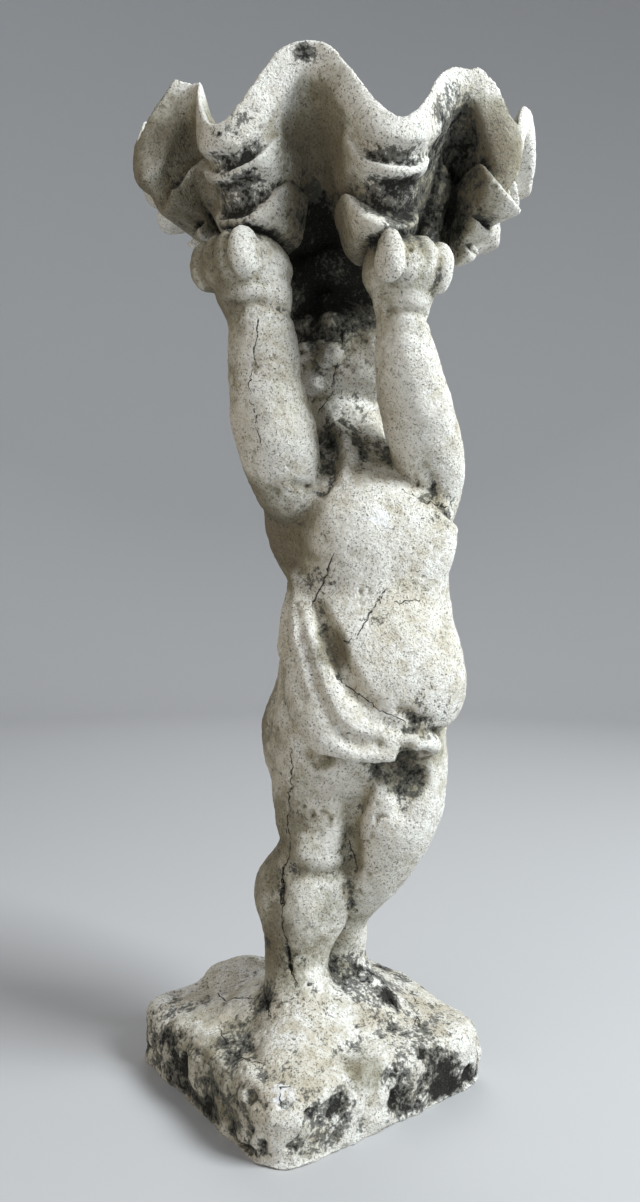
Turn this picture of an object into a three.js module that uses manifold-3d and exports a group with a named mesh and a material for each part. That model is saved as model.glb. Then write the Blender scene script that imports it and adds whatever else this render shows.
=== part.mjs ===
// Cherub garden statue: one cast stone piece, a standing child on a worn square plinth who holds a
// fluted clam shell overhead with both hands, with a band of drapery round the hips.
// Millimetres, +Z up. The origin is the centre of the plinth's underside, and the plinth's edges
// run along X and Y. The child faces between -Y and -X, towards one corner of the plinth.
import * as THREE from 'three';
import { mergeVertices } from 'three/addons/utils/BufferGeometryUtils.js';
import Module from 'manifold-3d';

const wasm = await Module();
wasm.setup();

// Driving dimensions

const PLINTH = { side: 180, height: 39, cornerRadius: 25, edgeRadius: 12 };

// A fluted open bowl. Its middle flute faces `faces` degrees from -Y towards -X.
const SHELL = {
  x: 9, y: -17,
  faces: 46,
  ribs: 8,
  floor: 553,
  wall: 9, floorWall: 15,
  // Rim radius, how much wider it is at the sides, how much it draws in at a flute there and in front,
  // and how much it draws in behind.
  rimRadius: 119, rimSpread: 14, rimScallop: 7, sideScallop: 5, behindScallop: 3,
  // Rim height, its rise at the sides and behind, and how far it swings up and down from flute to rib.
  rimHeight: 606, sideRise: 5, behindRise: 3, rimWave: 24, sideCalm: 10,
  ribSag: 11,
  // The flutes spread from a point set back behind the middle, and fade out close to it.
  umboSetBack: 95, umboReach: 122, fluteFade: 85,
};
// Crescent lips round the outside of each rib: the share of the rim radius where each one grows out,
// the shares by which its edge and its upper hollow lie further out, and its half width and reach.
const LIPS = { roots: [0.66, 0.83], edge: 0.08, hollow: 0.055, halfWidth: 19, reach: 11 };

// The chest's wide axis is turned this many degrees from +X towards -Y.
const CHEST_TURN = 28;
// Level sections of the trunk: centre x, centre y, height, half width, half depth.
const TRUNK = [
  [20, -24, 196, 40, 30],
  [21, -24, 206, 54, 42],
  [21, -23, 224, 61, 50],
  [23, -26, 246, 64, 53],
  [26, -35, 270, 65, 55],
  [28, -38, 296, 61, 54],
  [28, -35, 326, 55, 49],
  [28, -33, 350, 53, 45],
  [27, -32, 378, 56, 43],
  [24, -31, 400, 56, 38],
  [21, -28, 416, 42, 31],
  [20, -24, 430, 26, 23],
  [19, -18, 450, 22, 22],
];
// Shoulders, shoulder blades and buttocks: egg shapes, centre and half sizes.
const MASSES = [
  { centre: [-22, -14, 402], radii: [25, 24, 25] },
  { centre: [56, -48, 398], radii: [25, 25, 25] },
  { centre: [-4, -2, 380], radii: [30, 23, 42] },
  { centre: [52, -28, 380], radii: [28, 26, 38] },
  { centre: [4, 2, 230], radii: [38, 34, 38] },
  { centre: [48, -16, 232], radii: [36, 36, 38] },
];

// Limbs as stations along their middle line: x, y, z, radius.
const STANDING_LEG = [
  [-13, -5, 52, 21], [-14, -6, 81, 22.5], [-13, -7, 98, 25], [-9, -10, 119, 31], [-5, -12, 137, 32],
  [-2, -15, 158, 28], [0, -14, 180, 35], [2, -12, 205, 40], [6, -12, 230, 43],
];
const CROSSED_LEG = [
  [28, -4, 56, 16], [25, -6, 85, 18], [22, -9, 106, 20], [25, -24, 128, 22], [28, -37, 146, 25],
  [31, -45, 163, 28], [34, -47, 184, 35], [37, -42, 212, 40], [38, -34, 234, 42],
];
const RIGHT_ARM = [
  [-30, -20, 396, 22], [-39, -25, 412, 25], [-46, -28, 427, 26], [-53, -31, 443, 24.5],
  [-58, -34, 459, 23], [-62, -38, 476, 22], [-65, -41, 491, 20], [-68, -43, 508, 18],
];
const LEFT_ARM = [
  [55, -58, 384, 21], [52, -65, 398, 23], [44, -73, 412, 24], [35, -80, 425, 24],
  [24, -86, 439, 23], [15, -90, 453, 22], [7, -94, 467, 19.5], [1, -97, 481, 16.5], [-4, -101, 500, 15],
];

// Hands: centre of the palm, half sizes, and the way the fingers point in plan.
const RIGHT_HAND = { palm: [-77, -36, 528], radii: [28, 25, 22], points: 100 };
const LEFT_HAND = { palm: [-4, -104, 524], radii: [26, 23, 22], points: -12 };
// Fingers side by side, a share of their width apart, and their bent line: how far out from the palm's
// middle and how far up each of its three points lies, as shares of the palm's half sizes.
const FINGER = { count: 4, radius: 7.5, pitch: 1.6, line: [[0.45, -0.55], [0.74, -0.05], [0.66, 0.6]] };

// Feet: heel, instep and ball of each foot as stations, and the half width of a toe.
const STANDING_FOOT = {
  line: [[-6, 2, 54, 15], [-14, -10, 60, 19], [-30, -31, 56, 18], [-42, -45, 50, 14]],
  toe: 7,
};
const CROSSED_FOOT = {
  line: [[24, 8, 52, 13], [26, -6, 58, 16], [30, -24, 52, 14], [31, -33, 48, 11]],
  toe: 6,
};
// Toes, by shares of their half width: how far apart they are, how far they reach past the ball of the
// foot, how much the row curves back, how high they lie, and their half sizes.
const TOES = { count: 5, pitch: 1.05, reach: 1.3, curve: 0.12, lift: 0.55, shape: [1.35, 0.62, 0.85] };

// Head: middle of the skull, its half sizes, the way it faces in plan and how far it leans back.
const HEAD = { centre: [21, -10, 492], radii: [40, 45, 46], faces: 30, tilt: 30 };
// Curls of hair, spread evenly over the skull from its crown down to the nape.
const CURLS = { count: 15, radius: 13, crown: 0.95, span: 1.25, setIn: 0.93 };

// Drapery band: stations along its middle, x, y, z and half width, over the right hip to the groin.
const BAND = [
  [-25, -6, 340, 7], [-29, -24, 329, 11], [-33, -30, 308, 16], [-37, -37, 287, 19], [-37, -48, 265, 20],
  [-30, -58, 247, 19], [-16, -66, 236, 18], [0, -75, 230, 16], [15, -81, 230, 13], [31, -83, 228, 8],
];
const BAND_THICKNESS = 18;
const BAND_FOLDS = { count: 2, depth: 0.28 };
// Middle of the hips, which the band's outer face looks away from.
const HIPS = [24, -28, 0];

// Facets round and along the smallest egg shapes.
const SMALL = { around: 7, rows: 4 };

// Vectors and closed bodies

const UP = new THREE.Vector3(0, 0, 1);

const vector = ([x, y, z]) => new THREE.Vector3(x, y, z);

const radians = THREE.MathUtils.degToRad;

/** The level direction turned `degrees` from -Y towards -X. */
function facing(degrees) {
  return new THREE.Vector3(-Math.sin(radians(degrees)), -Math.cos(radians(degrees)), 0);
}

/** A manifold solid from a three.js geometry whose shared vertices are merged, turned to face outwards. */
function solidOf(geometry) {
  geometry.deleteAttribute('normal');
  geometry.deleteAttribute('uv');
  const merged = mergeVertices(geometry, 1e-4);
  const position = merged.getAttribute('position').array;
  const index = Uint32Array.from(merged.index.array);
  if (signedVolume(position, index) < 0) {
    for (let i = 0; i < index.length; i += 3) {
      [index[i], index[i + 1]] = [index[i + 1], index[i]];
    }
  }
  const vertProperties = Float32Array.from(position);
  return new wasm.Manifold(new wasm.Mesh({ numProp: 3, vertProperties, triVerts: index }));
}

/** Six times the volume inside the triangles, negative where they face inwards. */
function signedVolume(position, index) {
  const [a, b, c] = [new THREE.Vector3(), new THREE.Vector3(), new THREE.Vector3()];
  let sum = 0;
  for (let i = 0; i < index.length; i += 3) {
    a.fromArray(position, 3 * index[i]);
    b.fromArray(position, 3 * index[i + 1]);
    c.fromArray(position, 3 * index[i + 2]);
    sum += a.dot(b.cross(c));
  }
  return sum;
}

/** A closed body through rings of equal point count, each end closed by a fan on the ring's middle. */
function loft(rings) {
  const around = rings[0].length;
  const points = rings.flat();
  const middle = (ring) => ring.reduce((sum, p) => sum.add(p), new THREE.Vector3()).divideScalar(around);
  points.push(middle(rings[0]), middle(rings.at(-1)));
  const first = points.length - 2;
  const last = points.length - 1;
  const index = [];
  for (let i = 0; i < around; i += 1) {
    const j = (i + 1) % around;
    index.push(first, j, i);
    const top = (rings.length - 1) * around;
    index.push(last, top + i, top + j);
    for (let r = 0; r < rings.length - 1; r += 1) {
      const a = r * around;
      index.push(a + i, a + j, a + around + j, a + i, a + around + j, a + around + i);
    }
  }
  const geometry = new THREE.BufferGeometry().setFromPoints(points);
  geometry.setIndex(index);
  return geometry;
}

/** Stations of any number of columns, with `between` smooth steps from each one to the next. */
function smoothStations(stations, between) {
  const centres = new THREE.CatmullRomCurve3(stations.map((s) => vector(s)), false, 'catmullrom');
  const sizes = new THREE.CatmullRomCurve3(
    stations.map((s) => new THREE.Vector3(s[3], s[4] ?? s[3], 0)), false, 'catmullrom');
  const steps = (stations.length - 1) * between;
  const out = [];
  for (let i = 0; i <= steps; i += 1) {
    const size = sizes.getPoint(i / steps);
    out.push({ centre: centres.getPoint(i / steps), along: centres.getTangent(i / steps), size });
  }
  return out;
}

/** A round limb along its stations, with domed ends. */
function limb(stations, { sides = 10, between = 1 } = {}) {
  const path = smoothStations(stations, between);
  const reference = Math.abs(path[0].along.z) < 0.7 ? UP : facing(-60);
  const ring = ({ centre, along, size }, shrink, shift) => {
    const side = new THREE.Vector3().crossVectors(along, reference).normalize();
    const other = new THREE.Vector3().crossVectors(along, side);
    const middle = centre.clone().addScaledVector(along, shift * size.x);
    return Array.from({ length: sides }, (_, i) => {
      const angle = (2 * Math.PI * i) / sides;
      return middle.clone()
        .addScaledVector(side, Math.cos(angle) * size.x * shrink)
        .addScaledVector(other, Math.sin(angle) * size.x * shrink);
    });
  };
  const domeAngle = radians(63);
  const [drawnIn, raised] = [Math.cos(domeAngle), Math.sin(domeAngle)];
  const startDome = ring(path[0], drawnIn, -raised);
  const endDome = ring(path.at(-1), drawnIn, raised);
  return loft([startDome, ...path.map((station) => ring(station, 1, 0)), endDome]);
}

/** An egg shape with half sizes along its own axes, turned in plan by `turn` degrees. */
function ovoid(centre, radii, { turn = 0, around = 12, rows = 8 } = {}) {
  return new THREE.SphereGeometry(1, around, rows)
    .rotateX(Math.PI / 2)
    .scale(...radii)
    .rotateZ(radians(turn))
    .translate(...centre);
}

// Plinth

/** A square slab with rounded corners, whose top edge is worn to a quarter round. */
function plinth() {
  const perCorner = 4;
  const outline = (inset) => {
    const ring = [];
    const half = PLINTH.side / 2 - PLINTH.cornerRadius;
    const radius = PLINTH.cornerRadius - inset;
    for (let corner = 0; corner < 4; corner += 1) {
      const start = (corner * Math.PI) / 2;
      const [cx, cy] = [[1, 1], [-1, 1], [-1, -1], [1, -1]][corner];
      for (let i = 0; i <= perCorner; i += 1) {
        const angle = start + (i / perCorner) * (Math.PI / 2);
        ring.push([cx * half + radius * Math.cos(angle), cy * half + radius * Math.sin(angle)]);
      }
    }
    return ring;
  };
  const level = (inset, z) => outline(inset).map(([x, y]) => new THREE.Vector3(x, y, z));
  const shoulder = PLINTH.height - PLINTH.edgeRadius;
  const rings = [level(0, 0), level(0, shoulder)];
  for (const angle of [30, 60, 90].map(radians)) {
    const inset = PLINTH.edgeRadius * (1 - Math.cos(angle));
    rings.push(level(inset, shoulder + PLINTH.edgeRadius * Math.sin(angle)));
  }
  return loft(rings);
}

// Trunk and limbs

/** Level sections in the form of a slightly squared oval, wide axis along the chest line. */
function trunk() {
  const sides = 18;
  const squareness = 0.88; // 1 is a true oval, and a smaller number fills out its corners
  const wide = new THREE.Vector3(Math.cos(radians(CHEST_TURN)), -Math.sin(radians(CHEST_TURN)), 0);
  const deep = new THREE.Vector3().crossVectors(UP, wide);
  const squared = (value) => Math.sign(value) * Math.abs(value) ** squareness;
  const section = ({ centre, size }) => Array.from({ length: sides }, (_, i) => {
    const angle = (2 * Math.PI * i) / sides;
    return centre.clone()
      .addScaledVector(wide, squared(Math.cos(angle)) * size.x)
      .addScaledVector(deep, squared(Math.sin(angle)) * size.y);
  });
  return loft(smoothStations(TRUNK, 1).map(section));
}

/** A chubby hand: an egg-shaped palm and four fingers bent up round the rib. */
function hand({ palm, radii, points }) {
  const forward = facing(points);
  const across = new THREE.Vector3().crossVectors(UP, forward);
  const parts = [ovoid(palm, radii, { turn: 90 - points })];
  const { count, radius, pitch, line } = FINGER;
  for (let i = 0; i < count; i += 1) {
    const offset = (i - (count - 1) / 2) * radius * pitch;
    const root = vector(palm).addScaledVector(across, offset);
    const stations = line.map(([out, up]) => {
      const point = root.clone().addScaledVector(forward, out * radii[0]);
      return [point.x, point.y, point.z + up * radii[2], radius];
    });
    parts.push(limb(stations, { sides: 5 }));
  }
  return parts;
}

/** A plump foot and its row of toes. */
function foot({ line, toe }) {
  const [ball, before] = [vector(line.at(-1)), vector(line.at(-2))];
  const forward = ball.clone().sub(before).setZ(0).normalize();
  const across = new THREE.Vector3().crossVectors(UP, forward);
  const parts = [limb(line)];
  const turn = THREE.MathUtils.radToDeg(Math.atan2(forward.y, forward.x));
  const { count, pitch, reach, curve, lift, shape } = TOES;
  for (let i = 0; i < count; i += 1) {
    const centre = ball.clone()
      .addScaledVector(across, (i - (count - 1) / 2) * toe * pitch)
      .addScaledVector(forward, toe * (reach - curve * (i - 1) ** 2))
      .setZ(PLINTH.height + toe * lift);
    parts.push(ovoid(centre.toArray(), shape.map((s) => s * toe), { turn, ...SMALL }));
  }
  return parts;
}

// Head

/** Face, ears and curls on the skull, set by shares of its half sizes, looking along its own -Y. */
function head() {
  const at = (x, y, z, sizes, detail) => {
    const centre = new THREE.Vector3(x, y, z).multiply(vector(HEAD.radii));
    return ovoid(centre.toArray(), sizes.map((s) => s * HEAD.radii[0]), detail);
  };
  const skull = ovoid([0, 0, 0], HEAD.radii, { around: 16, rows: 10 });
  const jaw = at(0, -0.35, -0.45, [0.72, 0.62, 0.62], { around: 12, rows: 7 });
  const chin = at(0, -0.86, -0.80, [0.26, 0.22, 0.20], SMALL);
  const noseTip = at(0, -1.06, -0.30, [0.13, 0.17, 0.15], SMALL);
  const noseBridge = at(0, -0.98, -0.12, [0.09, 0.14, 0.26], SMALL);
  const upperLip = at(0, -0.98, -0.55, [0.20, 0.14, 0.05], SMALL);
  const lowerLip = at(0, -0.96, -0.63, [0.16, 0.13, 0.06], SMALL);
  const parts = [skull, jaw, chin, noseTip, noseBridge, upperLip, lowerLip];
  for (const side of [-1, 1]) {
    const cheek = at(side * 0.46, -0.70, -0.42, [0.32, 0.26, 0.30], SMALL);
    const brow = at(side * 0.36, -0.84, 0.22, [0.26, 0.14, 0.10], SMALL);
    const eye = at(side * 0.34, -0.88, -0.02, [0.15, 0.09, 0.09], SMALL);
    const ear = at(side * 0.99, 0.02, -0.18, [0.09, 0.18, 0.26], SMALL);
    parts.push(cheek, brow, eye, ear);
  }
  const turnOfCurl = Math.PI * (3 - Math.sqrt(5));
  for (let i = 0; i < CURLS.count; i += 1) {
    const height = CURLS.crown - (CURLS.span * (i + 0.5)) / CURLS.count;
    const across = Math.sqrt(1 - height * height);
    const angle = i * turnOfCurl;
    const centre = new THREE.Vector3(across * Math.cos(angle), across * Math.sin(angle), height);
    const onTheFace = centre.y < -0.55 && height < 0.55;
    if (onTheFace) {
      continue;
    }
    centre.multiplyScalar(CURLS.setIn).multiply(vector(HEAD.radii));
    parts.push(ovoid(centre.toArray(), [CURLS.radius, CURLS.radius, 0.9 * CURLS.radius], SMALL));
  }
  return parts.map((geometry) => geometry
    .rotateX(-radians(HEAD.tilt))
    .rotateZ(-radians(HEAD.faces))
    .translate(...HEAD.centre));
}

// Drapery

/** A band with lengthwise folds that lies on the hips: its section is carried along the stations. */
function drapery() {
  const axis = vector(HIPS);
  const points = 12;
  return loft(smoothStations(BAND, 2).map(({ centre, along, size }) => {
    const outward = centre.clone().sub(axis).setZ(0).normalize();
    outward.addScaledVector(along, -outward.dot(along)).normalize();
    const across = new THREE.Vector3().crossVectors(along, outward);
    return Array.from({ length: points }, (_, i) => {
      const angle = (2 * Math.PI * i) / points;
      const width = Math.cos(angle);
      const hollow = 0.5 + 0.5 * Math.cos(2 * Math.PI * BAND_FOLDS.count * (0.5 + width / 2));
      const height = Math.sin(angle) > 0 ? 1 - BAND_FOLDS.depth * hollow : 1;
      return centre.clone()
        .addScaledVector(across, width * size.x)
        .addScaledVector(outward, Math.sin(angle) * height * BAND_THICKNESS / 2);
    });
  }));
}

// Clam shell

/** The rim at an angle from the middle flute: its radius and height swing once for each rib. */
function rim(angle) {
  const wave = Math.cos(SHELL.ribs * angle);
  const side = Math.sin(angle) ** 2;
  const behind = (1 - Math.cos(angle)) / 2;
  return {
    radius: SHELL.rimRadius + SHELL.rimSpread * side
      - (SHELL.rimScallop + SHELL.sideScallop * side) * wave - SHELL.behindScallop * behind,
    middle: SHELL.rimHeight + SHELL.sideRise * side + SHELL.behindRise * behind,
    swing: SHELL.rimWave - SHELL.sideCalm * side,
  };
}

/** The same point seen from the point where the flutes start: its distance and direction from there. */
function fromUmbo(reach, angle) {
  const forward = reach * Math.cos(angle) + SHELL.umboSetBack * Math.max(0, 1 - reach / SHELL.umboReach);
  const lateral = reach * Math.sin(angle);
  return { distance: Math.hypot(forward, lateral), direction: Math.atan2(lateral, forward) };
}

/** Height of the shell's middle surface at a share `t` of the rim radius, in the direction `angle`. */
function shellHeight(t, angle) {
  const { radius, middle, swing } = rim(angle);
  const { distance, direction } = fromUmbo(t * radius, angle);
  const flutes = Math.cos(SHELL.ribs * direction);
  const fade = Math.min(1, distance / SHELL.fluteFade) ** 1.5;
  const side = Math.sin(angle) ** 2;
  const sag = SHELL.ribSag * (1 - side) * Math.sin(Math.PI * Math.min(1, t) ** 0.8);
  const flute = SHELL.floor + (middle + swing - SHELL.floor) * t ** 1.35;
  const rib = SHELL.floor - sag + (middle - swing - SHELL.floor) * t ** (4.2 - 2 * side);
  return rib + (flute - rib) * (0.5 + 0.5 * flutes * fade);
}

/** A point of the shell's middle surface. */
function shellPoint(t, angle) {
  const forward = facing(SHELL.faces);
  const lateral = new THREE.Vector3().crossVectors(forward, UP).negate();
  const reach = t * rim(angle).radius;
  return new THREE.Vector3(SHELL.x, SHELL.y, shellHeight(t, angle))
    .addScaledVector(forward, reach * Math.cos(angle))
    .addScaledVector(lateral, reach * Math.sin(angle));
}

/** The upward normal of the middle surface, from its two slopes. */
function shellNormal(t, angle) {
  const step = 0.01;
  const outward = shellPoint(t + step, angle).sub(shellPoint(t - step, angle));
  const around = shellPoint(t, angle + step).sub(shellPoint(t, angle - step));
  const normal = new THREE.Vector3().crossVectors(outward, around).normalize();
  return normal.z < 0 ? normal.negate() : normal;
}

/** How far a crescent lip stands out at this angle: most on the rib's ridge, nothing in the flute. */
function lipReach(t, angle) {
  const { distance, direction } = fromUmbo(t * rim(angle).radius, angle);
  const pitch = (2 * Math.PI) / SHELL.ribs;
  const offRidge = direction - (Math.floor(direction / pitch) + 0.5) * pitch;
  const share = (offRidge * distance) / LIPS.halfWidth;
  return LIPS.reach * Math.sqrt(Math.max(0, 1 - share * share));
}

/** The bowl: its under side with the lips out to the rim, and back over its smooth upper side. */
function bowl() {
  const perRib = 8;
  const around = perRib * SHELL.ribs;
  const thickening = SHELL.floorWall - SHELL.wall;
  const wallAt = (t) => SHELL.wall + thickening * Math.max(0, 1 - t) ** 0.8;
  const ring = (t, offset, lip = 0) => Array.from({ length: around }, (_, i) => {
    const angle = (2 * Math.PI * i) / around;
    const out = (offset * wallAt(t)) / 2 - lip * lipReach(t, angle);
    return shellPoint(t, angle).addScaledVector(shellNormal(t, angle), out);
  });
  // Each ring lies at a share of the rim radius, below (-1) or above (1) the middle surface by half a wall.
  const under = [ring(0.15, -1), ring(0.42, -1)];
  for (const root of LIPS.roots) {
    under.push(ring(root, -1), ring(root + LIPS.edge, -1, 1), ring(root + LIPS.hollow, -1));
  }
  const over = [0.9, 0.74, 0.55, 0.34, 0.12].map((t) => ring(t, 1));
  return loft([...under, ring(1, -0.7), ring(1.005, 0.4), ...over]);
}

// The whole casting

const bodies = [
  plinth(),
  trunk(),
  ...MASSES.map(({ centre, radii }) => ovoid(centre, radii)),
  limb(STANDING_LEG, { sides: 12 }),
  limb(CROSSED_LEG),
  limb(RIGHT_ARM),
  limb(LEFT_ARM),
  ...hand(RIGHT_HAND),
  ...hand(LEFT_HAND),
  ...foot(STANDING_FOOT),
  ...foot(CROSSED_FOOT),
  ...head(),
  drapery(),
  bowl(),
];

const casting = bodies.map((geometry) => solidOf(geometry)).reduce((whole, solid) => whole.add(solid));

function meshGeometry(solid) {
  const { vertProperties, triVerts } = solid.getMesh();
  const geometry = new THREE.BufferGeometry();
  geometry.setAttribute('position', new THREE.BufferAttribute(vertProperties, 3));
  geometry.setIndex(new THREE.BufferAttribute(triVerts, 1));
  return geometry;
}

const castStone = new THREE.MeshStandardMaterial({ color: 0xb9b3a2, roughness: 0.95, metalness: 0 });
const cherubStatue = new THREE.Mesh(meshGeometry(casting), castStone);
cherubStatue.name = 'cherub_statue';

const statue = new THREE.Group();
statue.add(cherubStatue);

export default statue;
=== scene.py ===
import bpy
import numpy as np
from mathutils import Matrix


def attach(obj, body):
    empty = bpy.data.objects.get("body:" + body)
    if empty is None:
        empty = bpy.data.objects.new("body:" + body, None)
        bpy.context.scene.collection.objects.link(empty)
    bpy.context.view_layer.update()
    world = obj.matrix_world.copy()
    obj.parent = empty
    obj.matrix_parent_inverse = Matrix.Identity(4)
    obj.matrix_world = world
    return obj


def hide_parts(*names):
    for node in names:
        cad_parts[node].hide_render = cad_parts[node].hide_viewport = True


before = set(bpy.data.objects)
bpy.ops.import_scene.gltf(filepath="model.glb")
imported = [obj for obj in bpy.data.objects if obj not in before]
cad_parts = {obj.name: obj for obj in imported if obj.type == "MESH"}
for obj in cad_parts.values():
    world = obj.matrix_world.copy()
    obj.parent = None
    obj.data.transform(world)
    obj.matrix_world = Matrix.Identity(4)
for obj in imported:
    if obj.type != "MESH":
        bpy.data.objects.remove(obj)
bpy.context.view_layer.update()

MM = 0.001

# ---- Camera ---------------------------------------------------------------------------------
# It stands off one corner of the plinth, level with the statue's middle, and looks straight
# ahead with a moderately wide lens, so that the bowl is seen from below.

camera_data = bpy.data.cameras.new("camera")
camera = bpy.data.objects.new("camera", camera_data)
bpy.context.scene.collection.objects.link(camera)
camera.location = (-0.358, -0.495, 0.322)
camera.rotation_euler = (np.radians(90), 0, np.radians(-36.63))
camera_data.lens = 26.27
camera_data.sensor_width = 36
bpy.context.scene.camera = camera

# ---- Studio ---------------------------------------------------------------------------------
# A plain pale floor that curves up into a round wall, cool soft light from high on the right,
# as from a window, and a weak warm fill from the left.


def revolved(name, profile, sides):
    """A surface of revolution round Z: each (radius, height) of the profile, carried round."""
    turn = np.linspace(0, 2 * np.pi, sides, endpoint=False)
    radius, height = np.array(profile).T
    x = radius[:, None] * np.cos(turn)
    y = radius[:, None] * np.sin(turn)
    z = np.broadcast_to(height[:, None], x.shape)
    points = np.stack([x, y, z], axis=-1).reshape(-1, 3)
    row = np.arange(len(radius) - 1)[:, None] * sides
    here = np.arange(sides)[None, :]
    after = (here + 1) % sides
    faces = np.stack([row + here, row + after, row + sides + after, row + sides + here], axis=-1)
    mesh = bpy.data.meshes.new(name)
    mesh.from_pydata(points.tolist(), [], faces.reshape(-1, 4).tolist())
    thing = bpy.data.objects.new(name, mesh)
    bpy.context.scene.collection.objects.link(thing)
    return thing


floor_radius, cove_radius, wall_height = 1.9, 0.7, 2.6
cove = np.radians(np.linspace(0, 90, 13))
studio_profile = [(0.0005, 0), (0.8, 0), (floor_radius, 0)]
cove_points = zip(floor_radius + cove_radius * np.sin(cove[1:]), cove_radius * (1 - np.cos(cove[1:])))
studio_profile += list(cove_points)
studio_profile += [(floor_radius + cove_radius, wall_height)]
studio = revolved("studio_floor", studio_profile, 96)
studio.data.polygons.foreach_set("use_smooth", np.ones(len(studio.data.polygons), bool))
studio_paint = bpy.data.materials.new("studio_paint")
studio_paint.use_nodes = True
paint = studio_paint.node_tree.nodes["Principled BSDF"]
paint.inputs["Base Color"].default_value = (0.47, 0.47, 0.47, 1)
paint.inputs["Roughness"].default_value = 0.9
studio.data.materials.append(studio_paint)


def soft_light(name, place, aim, size, power, colour):
    """A square area light at a place, in metres, turned to shine on the aim point."""
    data = bpy.data.lights.new(name, "AREA")
    data.shape = "SQUARE"
    data.size = size
    data.energy = power
    data.color = colour
    lamp = bpy.data.objects.new(name, data)
    bpy.context.scene.collection.objects.link(lamp)
    way = np.array(place) - np.array(aim)
    across = np.hypot(way[0], way[1])
    lamp.location = place
    lamp.rotation_euler = (np.arctan2(across, way[2]), 0, np.arctan2(way[1], way[0]) + np.pi / 2)


middle = (0, 0, 0.38)
soft_light("window", (0.75, -1.35, 1.45), middle, 0.7, 58, (0.90, 0.96, 1.0))
soft_light("fill", (-1.5, -0.15, 0.75), middle, 1.4, 7, (1.0, 0.90, 0.78))
soft_light("back_light", (1.0, 1.5, 1.7), middle, 1.2, 12, (1.0, 1.0, 1.0))

sky = bpy.data.worlds.new("sky")
sky.use_nodes = True
sky.node_tree.nodes["Background"].inputs["Color"].default_value = (0.85, 0.9, 1.0, 1)
sky.node_tree.nodes["Background"].inputs["Strength"].default_value = 0.35
bpy.context.scene.world = sky
bpy.context.scene.view_settings.view_transform = "Standard"

# ---- Plinth ---------------------------------------------------------------------------------
# The whole statue is one casting in sandy cement, packed into a mould: a worn square plinth, the
# child and the bowl. It is worked out as a block of clay would be, each part added to one block
# and melted into the last, so this first part also makes the block. Millimetres until the end.


def soft_min(a, b, blend):
    """The smaller of two distances, with the crease between them filled over the blend width."""
    if blend <= 0:
        return np.minimum(a, b)
    share = np.maximum(blend - np.abs(a - b), 0) / blend
    return np.minimum(a, b) - share * share * blend / 4


def soft_max(a, b, blend):
    """The larger of two distances, with the edge between them rounded over the blend width."""
    return -soft_min(-a, -b, blend)


class Clay:
    """A block of space on an even grid that holds the distance to the skin of the casting: below
    zero inside it and above zero outside. Each part reads its coordinates in a window of it."""

    far = 60.0

    def __init__(self, low, high, step):
        self.step = step
        self.low = np.array(low, float)
        counts = np.ceil((np.array(high) - self.low) / step).astype(int) + 1
        self.axes = [
            (self.low[i] + step * np.arange(counts[i])).astype(np.float32) for i in range(3)
        ]
        self.field = np.full(counts, self.far, np.float32)

    def window(self, low, high):
        """The slices that hold a box, and its X, Y and Z as thin arrays that broadcast."""
        first = np.floor((np.array(low) - self.low) / self.step).astype(int)
        last = np.ceil((np.array(high) - self.low) / self.step).astype(int) + 1
        size = np.array(self.field.shape)
        first = np.clip(first, 0, size - 1)
        last = np.clip(last, first + 1, size)
        place = tuple(slice(a, b) for a, b in zip(first, last))
        x, y, z = (axis[part] for axis, part in zip(self.axes, place))
        return place, x[:, None, None], y[None, :, None], z[None, None, :]

    def add(self, shape, low, high, blend=0.0):
        """Melts a shape, a function of X, Y and Z that gives a distance, into the block."""
        margin = blend + 2 * self.step
        place, x, y, z = self.window(np.array(low) - margin, np.array(high) + margin)
        self.field[place] = soft_min(self.field[place], shape(x, y, z), blend)

    def cut(self, shape, low, high, blend=0.0):
        """Takes a shape away from the block, with its edge rounded over the blend width."""
        margin = blend + 2 * self.step
        place, x, y, z = self.window(np.array(low) - margin, np.array(high) + margin)
        self.field[place] = soft_max(self.field[place], -shape(x, y, z), blend)


def egg(centre, radii, turn=0.0, tilt=0.0):
    """An egg shape: each offset from its centre, turned about Z and tilted about its own X axis,
    is divided by the half sizes, and the length of that less one is scaled back to millimetres."""
    c, s = np.cos(np.radians(turn)), np.sin(np.radians(turn))
    ct, st = np.cos(np.radians(tilt)), np.sin(np.radians(tilt))

    def distance(x, y, z):
        x, y, z = x - centre[0], y - centre[1], z - centre[2]
        x, y = c * x + s * y, c * y - s * x
        y, z = ct * y + st * z, ct * z - st * y
        share = np.sqrt((x / radii[0]) ** 2 + (y / radii[1]) ** 2 + (z / radii[2]) ** 2)
        slope = np.sqrt((x / radii[0] ** 2) ** 2 + (y / radii[1] ** 2) ** 2 + (z / radii[2] ** 2) ** 2)
        return share * (share - 1) / (slope + 1e-6)

    return distance


def add_egg(clay, centre, radii, blend=0.0, **turned):
    """Adds an egg shape to the block."""
    reach = max(radii)
    clay.add(egg(centre, radii, **turned), np.array(centre) - reach, np.array(centre) + reach, blend)


def cut_egg(clay, centre, radii, blend=0.0, **turned):
    """Hollows the block with an egg shape."""
    reach = max(radii)
    clay.cut(egg(centre, radii, **turned), np.array(centre) - reach, np.array(centre) + reach, blend)


plinth_half, plinth_height = 90.0, 39.0
plinth_corner, plinth_edge = 25.0, 13.0


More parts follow.
